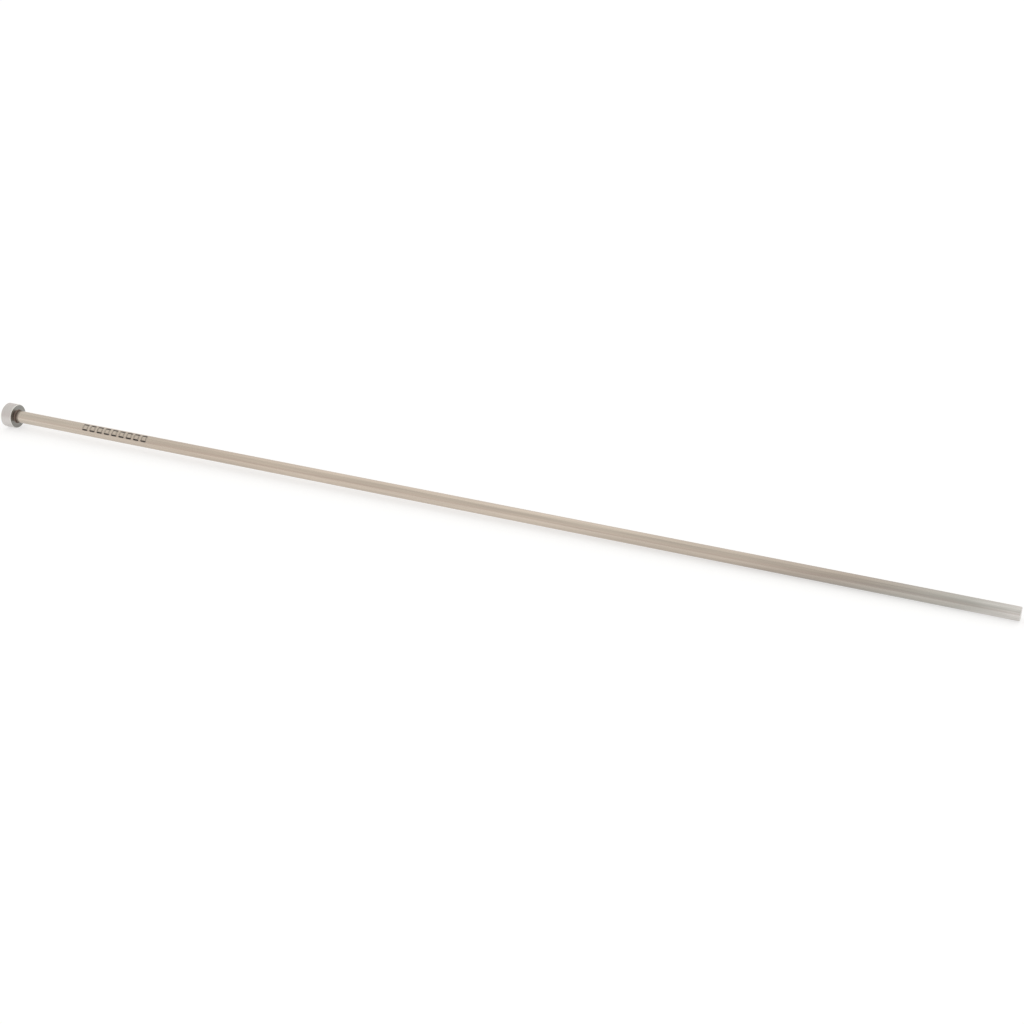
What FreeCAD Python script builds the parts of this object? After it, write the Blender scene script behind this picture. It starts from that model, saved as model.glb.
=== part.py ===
"""Straight ejector pin with a cylindrical head, for a 3 mm bore in an injection mould.

The pin is one piece of steel. Its head is upset hot on the end of the wire and turned, and
its shaft is ground to size. The origin is the middle of the head's back face, and the axis
lies along +X from the head to the tip. All sizes are in millimetres.
"""

import FreeCAD, Part
import math
import os

from FreeCAD import Vector

os.makedirs("parts", exist_ok=True)

# Driving dimensions.
PIN_LENGTH = 250.0       # back face of the head to the tip face
SHAFT_DIAMETER = 3.0     # ground running fit in the mould's bore
HEAD_DIAMETER = 6.0
HEAD_THICKNESS = 3.0     # depth of the counterbore that holds the head
SEAT_FILLET = 0.3        # radius that keeps the head from cracking off the shaft
BACK_RIM_BREAK = 0.15    # 45 degree break round the head's back face
SEAT_RIM_BREAK = 0.15    # the same break round the face that the head seats on
TIP_BREAK = 0.06         # light stoning of the tip's edge

# The stations along the axis and the radii that the profile runs through.
shaft_radius = SHAFT_DIAMETER / 2
head_radius = HEAD_DIAMETER / 2
fillet_end = HEAD_THICKNESS + SEAT_FILLET
fillet_top = shaft_radius + SEAT_FILLET


def point(station, radius):
    """A point of the half profile: its distance from the back face and from the axis."""
    return Vector(station, 0, radius)


def line(start, end):
    return Part.LineSegment(start, end).toShape()


def seat_fillet(start, end):
    """The quarter round that runs from the head's seat down into the shaft."""
    centre = point(end.x, start.z)
    halfway = centre - Vector(math.cos(math.pi / 4), 0, math.sin(math.pi / 4)) * SEAT_FILLET
    return Part.Arc(start, halfway, end).toShape()


def half_profile():
    """The closed outline that is turned about the axis, from the back face to the tip."""
    back_centre = point(0, 0)
    back_rim_inner = point(0, head_radius - BACK_RIM_BREAK)
    back_rim_outer = point(BACK_RIM_BREAK, head_radius)
    seat_rim_outer = point(HEAD_THICKNESS - SEAT_RIM_BREAK, head_radius)
    seat_rim_inner = point(HEAD_THICKNESS, head_radius - SEAT_RIM_BREAK)
    seat_inner = point(HEAD_THICKNESS, fillet_top)
    shaft_start = point(fillet_end, shaft_radius)
    shaft_end = point(PIN_LENGTH - TIP_BREAK, shaft_radius)
    tip_rim = point(PIN_LENGTH, shaft_radius - TIP_BREAK)
    tip_centre = point(PIN_LENGTH, 0)

    head = [
        line(back_centre, back_rim_inner),
        line(back_rim_inner, back_rim_outer),
        line(back_rim_outer, seat_rim_outer),
        line(seat_rim_outer, seat_rim_inner),
        line(seat_rim_inner, seat_inner),
    ]
    shaft = [
        seat_fillet(seat_inner, shaft_start),
        line(shaft_start, shaft_end),
        line(shaft_end, tip_rim),
        line(tip_rim, tip_centre),
        line(tip_centre, back_centre),
    ]
    return Part.Wire(head + shaft)


def ejector_pin():
    """The whole pin as one turned solid."""
    return Part.Face(half_profile()).revolve(Vector(0, 0, 0), Vector(1, 0, 0), 360)


pin = ejector_pin()
pin.exportStep("parts/ejector_pin.step")
print("ejector_pin: valid", pin.isValid(), "volume", round(pin.Volume, 2), "mm3")
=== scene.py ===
"""A straight ejector pin with a cylindrical head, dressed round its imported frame."""

import math

import bpy
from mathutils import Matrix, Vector


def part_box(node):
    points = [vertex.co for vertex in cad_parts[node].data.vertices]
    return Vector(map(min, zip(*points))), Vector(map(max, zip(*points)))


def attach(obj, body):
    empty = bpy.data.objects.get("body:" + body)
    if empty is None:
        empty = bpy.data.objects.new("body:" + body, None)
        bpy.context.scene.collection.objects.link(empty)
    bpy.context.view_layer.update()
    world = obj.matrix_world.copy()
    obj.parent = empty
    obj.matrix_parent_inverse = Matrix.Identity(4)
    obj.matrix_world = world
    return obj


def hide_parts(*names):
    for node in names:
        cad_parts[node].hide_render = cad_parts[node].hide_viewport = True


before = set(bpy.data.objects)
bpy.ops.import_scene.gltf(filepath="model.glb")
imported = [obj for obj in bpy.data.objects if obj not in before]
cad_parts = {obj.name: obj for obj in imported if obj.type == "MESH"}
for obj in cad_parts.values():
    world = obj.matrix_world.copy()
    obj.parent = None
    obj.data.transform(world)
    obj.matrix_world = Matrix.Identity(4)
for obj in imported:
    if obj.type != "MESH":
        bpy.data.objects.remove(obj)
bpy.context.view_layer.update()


# ---------------------------------------------------------------------------------------
# The pin. One length of tool steel: the head is upset on the end of the wire and turned,
# and the shaft is ground to a running fit. Both rims of the head and the tip's edge are
# broken, and a small fillet joins the shaft to the face that the head seats on.
# ---------------------------------------------------------------------------------------

MM = 0.001
PIN_SIDES = 128
PIN_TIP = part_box("ejector_pin")[1].x
HEAD_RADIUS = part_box("ejector_pin")[1].z
HEAD_THICKNESS = 3.0 * MM
HEAD_RIM_BREAK = 0.15 * MM
SHAFT_RADIUS = 1.5 * MM
SHAFT_SPANS = 40
SEAT_FILLET = 0.3 * MM
FILLET_STEPS = 8
TIP_BREAK = 0.06 * MM
DOUBLES_GAP = 0.0005 * MM
SMOOTH_UP_TO = math.radians(24)

# A corner this near to a face or a rim counts as on it.
HAIR = 0.01 * MM


def deselect_all():
    bpy.ops.object.select_all(action="DESELECT")


def select_where(piece, kind, test):
    """Selects the faces or edges of a piece in edit mode whose corners all pass the test."""
    bpy.ops.mesh.select_mode(type=kind)
    bpy.ops.mesh.select_all(action="DESELECT")
    bpy.ops.object.mode_set(mode="OBJECT")
    mesh = piece.data
    items = mesh.polygons if kind == "FACE" else mesh.edges
    for item in items:
        item.select = all(test(mesh.vertices[corner].co) for corner in item.vertices)
    bpy.ops.object.mode_set(mode="EDIT")


def on_rim(corner, rim_station):
    off_axis = math.hypot(corner.y, corner.z)
    return abs(corner.x - rim_station) < HAIR and off_axis > HEAD_RADIUS - HAIR


deselect_all()
bpy.ops.mesh.primitive_cylinder_add(
    vertices=PIN_SIDES, radius=HEAD_RADIUS, depth=HEAD_THICKNESS,
    location=(HEAD_THICKNESS / 2, 0, 0), rotation=(0, math.pi / 2, 0),
)
pin = bpy.context.object
pin.name = "pin"
bpy.ops.object.transform_apply(location=True, rotation=True, scale=True)
bpy.ops.object.mode_set(mode="EDIT")
select_where(pin, "FACE", lambda corner: corner.x > HEAD_THICKNESS - HAIR)

# Each place along the pin where the turned profile changes, with its radius there.
profile = [(HEAD_THICKNESS, SHAFT_RADIUS + SEAT_FILLET)]
for step in range(1, FILLET_STEPS + 1):
    turn = math.pi / 2 * step / FILLET_STEPS
    profile.append((
        HEAD_THICKNESS + SEAT_FILLET * (1 - math.cos(turn)),
        SHAFT_RADIUS + SEAT_FILLET * (1 - math.sin(turn)),
    ))
shaft_start = HEAD_THICKNESS + SEAT_FILLET
shaft_span = (PIN_TIP - TIP_BREAK - shaft_start) / SHAFT_SPANS
profile += [(shaft_start + shaft_span * (n + 1), SHAFT_RADIUS) for n in range(SHAFT_SPANS)]
profile.append((PIN_TIP, SHAFT_RADIUS - TIP_BREAK))

station, radius = HEAD_THICKNESS, HEAD_RADIUS
for next_station, next_radius in profile:
    bpy.ops.mesh.extrude_region_move(
        TRANSFORM_OT_translate={"value": (next_station - station, 0, 0)}
    )
    share = next_radius / radius
    bpy.ops.transform.resize(value=(1, share, share), center_override=(next_station, 0, 0))
    station, radius = next_station, next_radius

for rim_station in (0, HEAD_THICKNESS):
    select_where(pin, "EDGE", lambda corner: on_rim(corner, rim_station))
    bpy.ops.mesh.bevel(offset=HEAD_RIM_BREAK, offset_type="OFFSET", segments=1, affect="EDGES")

bpy.ops.mesh.select_all(action="SELECT")
bpy.ops.mesh.remove_doubles(threshold=DOUBLES_GAP)
bpy.ops.mesh.normals_make_consistent(inside=False)
bpy.ops.object.mode_set(mode="OBJECT")
bpy.ops.object.shade_smooth_by_angle(angle=SMOOTH_UP_TO)


def worked(tree, operation, first, second):
    """The result of a Math node, where each value is a number or another node's output."""
    node = tree.nodes.new("ShaderNodeMath")
    node.operation = operation
    for value, socket in zip((first, second), node.inputs):
        if isinstance(value, (int, float)):
            socket.default_value = value
        else:
            tree.links.new(value, socket)
    return node.outputs[0]


def place_in_mm(tree):
    """A point's distance along the pin, and its two distances across it, in millimetres."""
    place = tree.nodes.new("ShaderNodeTexCoord")
    in_mm = tree.nodes.new("ShaderNodeVectorMath")
    in_mm.operation = "SCALE"
    in_mm.inputs["Scale"].default_value = 1 / MM
    tree.links.new(place.outputs["Object"], in_mm.inputs[0])
    split = tree.nodes.new("ShaderNodeSeparateXYZ")
    tree.links.new(in_mm.outputs["Vector"], split.inputs[0])
    return split.outputs["X"], split.outputs["Y"], split.outputs["Z"]


# Nearly all of the noise lies between these two values.
NOISE_LOW = 0.3
NOISE_HIGH = 0.7


def noise_at(tree, along, across, up, detail):
    """Noise at a place given by three other nodes' outputs."""
    spot = tree.nodes.new("ShaderNodeCombineXYZ")
    for value, socket in zip((along, across, up), spot.inputs):
        tree.links.new(value, socket)
    noise = tree.nodes.new("ShaderNodeTexNoise")
    noise.inputs["Scale"].default_value = 1.0
    noise.inputs["Detail"].default_value = detail
    tree.links.new(spot.outputs[0], noise.inputs["Vector"])
    return noise.outputs["Fac"]


def spread_over(tree, value, low, high, to_low, to_high):
    """The value carried from the range low to high onto the range to_low to to_high."""
    node = tree.nodes.new("ShaderNodeMapRange")
    node.inputs["From Min"].default_value = low
    node.inputs["From Max"].default_value = high
    node.inputs["To Min"].default_value = to_low
    node.inputs["To Max"].default_value = to_high
    tree.links.new(value, node.inputs["Value"])
    return node.outputs["Result"]


def colours_along(tree, value, stops):
    """The colour at a value from 0 to 1, between stops that each hold a place and a colour."""
    node = tree.nodes.new("ShaderNodeValToRGB")
    ramp = node.color_ramp
    while len(ramp.elements) < len(stops):
        ramp.elements.new(1.0)
    for element, (position, colour) in zip(ramp.elements, stops):
        element.position = position
        element.color = (*colour, 1)
    tree.links.new(value, node.inputs["Fac"])
    return node.outputs["Color"]


def bare_steel(name):
    material = bpy.data.materials.new(name)
    material.use_nodes = True
    shader = material.node_tree.nodes["Principled BSDF"]
    shader.inputs["Metallic"].default_value = 1.0
    return material, material.node_tree, shader


BUMP_STRENGTH = 0.5


def raise_by(tree, shader, height, depth):
    """Lets a height of 0 to 1 stand up by a depth, as bump on the shader."""
    relief = tree.nodes.new("ShaderNodeBump")
    relief.inputs["Strength"].default_value = BUMP_STRENGTH
    relief.inputs["Distance"].default_value = depth
    tree.links.new(height, relief.inputs["Height"])
    tree.links.new(relief.outputs["Normal"], shader.inputs["Normal"])


def lathe_lines_group():
    """Fine lines that run round the pin on its sides and in rings on its flat faces."""
    group = bpy.data.node_groups.new("lathe_lines", "ShaderNodeTree")
    group.interface.new_socket("Lines per mm", in_out="INPUT", socket_type="NodeSocketFloat")
    group.interface.new_socket("Drift", in_out="INPUT", socket_type="NodeSocketFloat")
    group.interface.new_socket("Lines", in_out="OUTPUT", socket_type="NodeSocketFloat")
    given = group.nodes.new("NodeGroupInput")
    result = group.nodes.new("NodeGroupOutput")
    along, across, up = place_in_mm(group)
    off_axis = worked(
        group, "SQRT",
        worked(group, "ADD", worked(group, "POWER", across, 2), worked(group, "POWER", up, 2)), 0,
    )
    run = worked(group, "ADD", along, off_axis)
    drift = given.outputs["Drift"]
    lines = noise_at(
        group,
        worked(group, "MULTIPLY", run, given.outputs["Lines per mm"]),
        worked(group, "MULTIPLY", across, drift),
        worked(group, "MULTIPLY", up, drift),
        detail=3.0,
    )
    group.links.new(lines, result.inputs["Lines"])
    return group


lathe_lines = lathe_lines_group()


def lathe_finish(name, colour, colour_dark, roughness, spread, lines, drift, depth):
    """Bare steel whose tone, sheen and height all follow the lines that the tool left."""
    material, tree, shader = bare_steel(name)
    cuts = tree.nodes.new("ShaderNodeGroup")
    cuts.node_tree = lathe_lines
    cuts.inputs["Lines per mm"].default_value = lines
    cuts.inputs["Drift"].default_value = drift
    cut = cuts.outputs["Lines"]
    tone = colours_along(tree, cut, ((NOISE_LOW, colour_dark), (NOISE_HIGH, colour)))
    tree.links.new(tone, shader.inputs["Base Color"])
    sheen = spread_over(
        tree, cut, NOISE_LOW, NOISE_HIGH, roughness - spread, roughness + spread
    )
    tree.links.new(sheen, shader.inputs["Roughness"])
    raise_by(tree, shader, cut, depth)
    return material


# Painted reflection: tones along the shaft, by the distance from the head's back, that stand in
# for the light and dark of the room that the steel reflects.
PAINTED_REFLECTION_ALONG = (
    (0 * MM, (0.595, 0.53, 0.455)),
    (60 * MM, (0.57, 0.485, 0.405)),
    (140 * MM, (0.60, 0.52, 0.44)),
    (183 * MM, (0.53, 0.46, 0.39)),
    (205 * MM, (0.45, 0.39, 0.335)),
    (220 * MM, (0.435, 0.395, 0.35)),
    (236 * MM, (0.47, 0.455, 0.42)),
    (246 * MM, (0.63, 0.605, 0.575)),
)

# The painted colours slant, so that the painted shade near the tip starts sooner on the
# underside: one lies this many millimetres further on for each millimetre higher up.
PAINTED_REFLECTION_SLANT = 4.5

# They also waver: how far along in millimetres, and how often in each millimetre.
WAVER_REACH = 6
WAVER_ALONG = 0.05
WAVER_ACROSS = 0.35

# The streaks that the wheel left: how many in each millimetre, and their tone and roughness.
STREAKS_ALONG = 0.04
STREAKS_ACROSS = 2.2
STREAK_TONE_LOW = 0.90
STREAK_TONE_HIGH = 1.08
STREAK_ROUGHNESS_LOW = 0.21
STREAK_ROUGHNESS_HIGH = 0.27
STREAK_RELIEF = 0.0005 * MM

# A painted dark reflection of the seat lies on the shaft's root: whole up to the first of these
# places, and gone from the second.
SEAT_REFLECTION_FULL_TO = HEAD_THICKNESS + 0.4 * MM
SEAT_REFLECTION_GONE_AT = HEAD_THICKNESS + 1.3 * MM
PAINTED_SEAT_REFLECTION_TONE = (0.34, 0.29, 0.28)
SEAT_REFLECTION_DULLNESS = 0.3


def ground_finish():
    """Steel with fine lengthwise streaks, painted reflection along it, and a painted dark
    reflection of the seat at its root.
    """
    material, tree, shader = bare_steel("ground_steel")
    along, across, up = place_in_mm(tree)
    streaks = noise_at(
        tree,
        worked(tree, "MULTIPLY", along, STREAKS_ALONG),
        worked(tree, "MULTIPLY", across, STREAKS_ACROSS),
        worked(tree, "MULTIPLY", up, STREAKS_ACROSS),
        detail=4.0,
    )
    waver = noise_at(
        tree,
        worked(tree, "MULTIPLY", along, WAVER_ALONG),
        worked(tree, "MULTIPLY", across, WAVER_ACROSS),
        worked(tree, "MULTIPLY", up, WAVER_ACROSS),
        detail=2.0,
    )
    shift = worked(
        tree, "SUBTRACT",
        spread_over(tree, waver, NOISE_LOW, NOISE_HIGH, -WAVER_REACH, WAVER_REACH),
        worked(tree, "MULTIPLY", up, PAINTED_REFLECTION_SLANT),
    )
    share = worked(tree, "DIVIDE", worked(tree, "ADD", along, shift), PIN_TIP / MM)
    # Painted reflection: the colour along the shaft stands in for the room reflected in the
    # steel.
    painted_reflection = colours_along(
        tree, share, [(place / PIN_TIP, colour) for place, colour in PAINTED_REFLECTION_ALONG]
    )
    # Painted reflection: the root of the shaft is darkened, and made rougher, where it would
    # mirror the dark seat.
    past_seat_reflection = spread_over(tree, along, SEAT_REFLECTION_FULL_TO / MM, SEAT_REFLECTION_GONE_AT / MM, 0, 1)
    skin = colours_along(tree, past_seat_reflection, ((0, PAINTED_SEAT_REFLECTION_TONE), (1, (1, 1, 1))))
    with_seat_reflection = tree.nodes.new("ShaderNodeVectorMath")
    with_seat_reflection.operation = "MULTIPLY"
    tree.links.new(painted_reflection, with_seat_reflection.inputs[0])
    tree.links.new(skin, with_seat_reflection.inputs[1])
    streaked = tree.nodes.new("ShaderNodeVectorMath")
    streaked.operation = "SCALE"
    tree.links.new(with_seat_reflection.outputs["Vector"], streaked.inputs[0])
    streak_tone = spread_over(
        tree, streaks, NOISE_LOW, NOISE_HIGH, STREAK_TONE_LOW, STREAK_TONE_HIGH
    )
    tree.links.new(streak_tone, streaked.inputs["Scale"])
    tree.links.new(streaked.outputs["Vector"], shader.inputs["Base Color"])
    sheen = worked(
        tree, "ADD",
        spread_over(
            tree, streaks, NOISE_LOW, NOISE_HIGH, STREAK_ROUGHNESS_LOW, STREAK_ROUGHNESS_HIGH
        ),
        spread_over(tree, past_seat_reflection, 0, 1, SEAT_REFLECTION_DULLNESS, 0),
    )
    tree.links.new(sheen, shader.inputs["Roughness"])
    raise_by(tree, shader, streaks, STREAK_RELIEF)
    return material


ground_steel = ground_finish()
turned_steel = lathe_finish(
    "turned_steel", colour=(0.665, 0.635, 0.615), colour_dark=(0.60, 0.575, 0.555),
    roughness=0.34, spread=0.05, lines=7.0, drift=0.9, depth=0.002 * MM,
)
# Painted highlight: the broken edges are given a lighter tone than the turned head, standing in
# for the bright line the light draws along them.
rim_painted_highlight = lathe_finish(
    "rim_painted_highlight", colour=(0.74, 0.73, 0.70), colour_dark=(0.68, 0.67, 0.64),
    roughness=0.26, spread=0.04, lines=9.0, drift=0.9, depth=0.001 * MM,
)
# Painted shade: the face that the head seats on is given a dark tone that stands in for the shade
# on it and the dark surroundings it reflects.
seat_painted_shade = lathe_finish(
    "seat_painted_shade", colour=(0.31, 0.30, 0.28), colour_dark=(0.25, 0.25, 0.235),
    roughness=0.26, spread=0.04, lines=6.0, drift=0.8, depth=0.001 * MM,
)
for finish in (ground_steel, turned_steel, rim_painted_highlight, seat_painted_shade):
    pin.data.materials.append(finish)
GROUND, TURNED, RIM, SEAT = range(4)

# A broken edge faces half along the pin: its normal's share that way lies between these.
BREAK_FACES_LEAST = 0.5
BREAK_FACES_MOST = 0.9
for face in pin.data.polygons:
    stations = [pin.data.vertices[corner].co.x for corner in face.vertices]
    slanted = BREAK_FACES_LEAST < abs(face.normal.x) < BREAK_FACES_MOST
    on_fillet = HEAD_THICKNESS < min(stations) < shaft_start
    if slanted and not on_fillet:
        face.material_index = RIM
    elif min(stations) > HEAD_THICKNESS - HAIR and max(stations) < HEAD_THICKNESS + HAIR:
        face.material_index = SEAT
    elif HEAD_THICKNESS - HAIR < min(stations) < PIN_TIP - HAIR:
        face.material_index = GROUND
    else:
        face.material_index = TURNED

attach(pin, "root")
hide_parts("ejector_pin")


# ---------------------------------------------------------------------------------------
# The marking field. A row of blank boxes that a laser has darkened into the shaft, a hair
# proud of it, where such a pin carries its marking. They are bent round the shaft.
# ---------------------------------------------------------------------------------------

BOX_COUNT = 9
BOX_PITCH = 2.14 * MM
BOX_WIDTH = 1.6 * MM
BOX_HEIGHT = 1.8 * MM
BOX_STROKE = 0.38 * MM
BOX_CORNER = 0.3 * MM
BOX_CORNER_STEPS = 3
BOX_CUTS = 3
BOX_LIFT = 0.004 * MM
FIELD_START = 23.6 * MM
FIELD_TURN = math.radians(53)

deselect_all()
bpy.ops.mesh.primitive_plane_add(size=1, location=(0, 0, 0))
boxes = bpy.context.object
boxes.name = "marking_boxes"
bpy.ops.object.mode_set(mode="EDIT")
bpy.ops.transform.resize(value=(BOX_WIDTH, BOX_HEIGHT, 1))
bpy.ops.mesh.bevel(
    offset=BOX_CORNER, offset_type="OFFSET", segments=BOX_CORNER_STEPS, affect="VERTICES"
)
bpy.ops.mesh.select_all(action="SELECT")
bpy.ops.mesh.inset(thickness=BOX_STROKE, depth=0)
bpy.ops.mesh.delete(type="FACE")
bpy.ops.mesh.select_all(action="SELECT")
bpy.ops.mesh.subdivide(number_cuts=BOX_CUTS)
bpy.ops.object.mode_set(mode="OBJECT")

row = boxes.modifiers.new("row", "ARRAY")
row.count = BOX_COUNT
row.use_relative_offset = False
row.use_constant_offset = True
row.constant_offset_displace = (BOX_PITCH, 0, 0)
bpy.ops.object.modifier_apply(modifier=row.name)
for corner in boxes.data.vertices:
    turn = FIELD_TURN + corner.co.y / SHAFT_RADIUS
    corner.co = (
        FIELD_START + BOX_WIDTH / 2 + corner.co.x,
        -SHAFT_RADIUS * math.cos(turn),
        SHAFT_RADIUS * math.sin(turn),
    )
skin = boxes.modifiers.new("skin", "SOLIDIFY")
skin.thickness = 2 * BOX_LIFT
skin.offset = 0
bpy.ops.object.modifier_apply(modifier=skin.name)
bpy.ops.object.mode_set(mode="EDIT")
bpy.ops.mesh.select_all(action="SELECT")
bpy.ops.mesh.normals_make_consistent(inside=False)
bpy.ops.object.mode_set(mode="OBJECT")
bpy.ops.object.shade_smooth_by_angle(angle=SMOOTH_UP_TO)


PATCHES_PER_MM = 2.0
OXIDE_THICK_AT = 0.35
OXIDE_THICK = (0.045, 0.043, 0.04)
OXIDE_THIN = (0.12, 0.11, 0.10)
OXIDE_THICK_ROUGHNESS = 0.6
OXIDE_THIN_ROUGHNESS = 0.45
OXIDE_RELIEF = 0.001 * MM


def darkened_finish():
    """Dark laser oxide, a little thinner in places, so that some steel shows through."""
    material, tree, shader = bare_steel("darkened_steel")
    along, across, up = place_in_mm(tree)
    patches = noise_at(
        tree,
        worked(tree, "MULTIPLY", along, PATCHES_PER_MM),
        worked(tree, "MULTIPLY", across, PATCHES_PER_MM),
        worked(tree, "MULTIPLY", up, PATCHES_PER_MM),
        detail=3.0,
    )
    tone = colours_along(
        tree, patches, ((OXIDE_THICK_AT, OXIDE_THICK), (NOISE_HIGH, OXIDE_THIN))
    )
    tree.links.new(tone, shader.inputs["Base Color"])
    sheen = spread_over(
        tree, patches, NOISE_LOW, NOISE_HIGH, OXIDE_THICK_ROUGHNESS, OXIDE_THIN_ROUGHNESS
    )
    tree.links.new(sheen, shader.inputs["Roughness"])
    raise_by(tree, shader, patches, OXIDE_RELIEF)
    return material


boxes.data.materials.append(darkened_finish())
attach(boxes, "root")


# ---------------------------------------------------------------------------------------
# Stage. A white table that touches the head's rim and the tip, as the pin lies on it.
# ---------------------------------------------------------------------------------------

TABLE_SIZE = 6.0
TABLE_TONE = 0.52
TABLE_ROUGHNESS = 0.9
TABLE_GLOW = 0.55
rest_slope = math.atan((HEAD_RADIUS - SHAFT_RADIUS) / (PIN_TIP - HEAD_THICKNESS))
deselect_all()
bpy.ops.mesh.primitive_plane_add(
    size=TABLE_SIZE, location=(HEAD_THICKNESS, 0, -HEAD_RADIUS), rotation=(0, -rest_slope, 0)
)
table = bpy.context.object
table.name = "table"
bpy.ops.object.transform_apply(location=True, rotation=True, scale=True)

white_table = bpy.data.materials.new("white_table")
white_table.use_nodes = True
table_tree = white_table.node_tree
table_shader = table_tree.nodes["Principled BSDF"]
table_shader.inputs["Base Color"].default_value = (TABLE_TONE, TABLE_TONE, TABLE_TONE, 1)
table_shader.inputs["Roughness"].default_value = TABLE_ROUGHNESS
table_shader.inputs["Specular IOR Level"].default_value = 0.0
table_shader.inputs["Emission Color"].default_value = (1, 1, 1, 1)

# The table glows only for what sees it directly, or by way of a polished or clear surface.
path = table_tree.nodes.new("ShaderNodeLightPath")
seen = worked(
    table_tree, "MAXIMUM", path.outputs["Is Camera Ray"],
    worked(
        table_tree, "MAXIMUM", path.outputs["Is Glossy Ray"], path.outputs["Is Transmission Ray"]
    ),
)
glow = worked(table_tree, "MULTIPLY", seen, TABLE_GLOW)
table_tree.links.new(glow, table_shader.inputs["Emission Strength"])
table.data.materials.append(white_table)


# ---------------------------------------------------------------------------------------
# Light. A white room that is a little warmer low down, and one broad panel behind the pin.
# ---------------------------------------------------------------------------------------

ROOM_LOW_AT = 0.1
ROOM_LOW = (0.88, 0.835, 0.825)
ROOM_HIGH_AT = 0.9
ROOM_HIGH = (0.86, 0.865, 0.845)
room = bpy.data.worlds.new("room")
bpy.context.scene.world = room
room.use_nodes = True
room_tree = room.node_tree
room_way = room_tree.nodes.new("ShaderNodeTexCoord")
room_split = room_tree.nodes.new("ShaderNodeSeparateXYZ")
room_tree.links.new(room_way.outputs["Generated"], room_split.inputs[0])
room_tone = colours_along(
    room_tree, room_split.outputs["Z"], ((ROOM_LOW_AT, ROOM_LOW), (ROOM_HIGH_AT, ROOM_HIGH))
)
room_tree.links.new(room_tone, room_tree.nodes["Background"].inputs["Color"])
room_tree.nodes["Background"].inputs["Strength"].default_value = 1.0

PANEL_PLACE = Vector((0.25, 0.46, 0.66))
PANEL_AIM = Vector((0.25, 0, 0))
PANEL_WIDTH = 1.4
PANEL_DEPTH = 1.1
PANEL_WATTS = 1.0
panel_data = bpy.data.lights.new("panel", "AREA")
panel_data.shape = "RECTANGLE"
panel_data.size = PANEL_WIDTH
panel_data.size_y = PANEL_DEPTH
panel_data.energy = PANEL_WATTS
panel = bpy.data.objects.new("panel", panel_data)
bpy.context.scene.collection.objects.link(panel)
panel.location = PANEL_PLACE
panel.rotation_euler = (PANEL_AIM - PANEL_PLACE).to_track_quat("-Z", "Y").to_euler()


# ---------------------------------------------------------------------------------------
# Camera. It stands beyond the tip and looks back along the pin, a little from above.
# ---------------------------------------------------------------------------------------

CAMERA_PLACE = Vector((269.38, -293.87, 169.92)) * MM
CAMERA_HEADING = math.radians(112.746)
CAMERA_TILT = math.radians(-27.798)
SENSOR_WIDTH = 36
LENS_LENGTH = 57.237
LENS_SHIFT = -0.0297
NEAR_LIMIT = 0.01
camera_data = bpy.data.cameras.new("camera")
camera_data.sensor_width = SENSOR_WIDTH
camera_data.lens = LENS_LENGTH
camera_data.shift_x = LENS_SHIFT
camera_data.clip_start = NEAR_LIMIT
camera = bpy.data.objects.new("camera", camera_data)
bpy.context.scene.collection.objects.link(camera)
camera.location = CAMERA_PLACE
sight = Vector((
    math.cos(CAMERA_TILT) * math.cos(CAMERA_HEADING),
    math.cos(CAMERA_TILT) * math.sin(CAMERA_HEADING),
    math.sin(CAMERA_TILT),
))
camera.rotation_euler = sight.to_track_quat("-Z", "Y").to_euler()
bpy.context.scene.camera = camera

bpy.context.scene.view_settings.view_transform = "Standard"
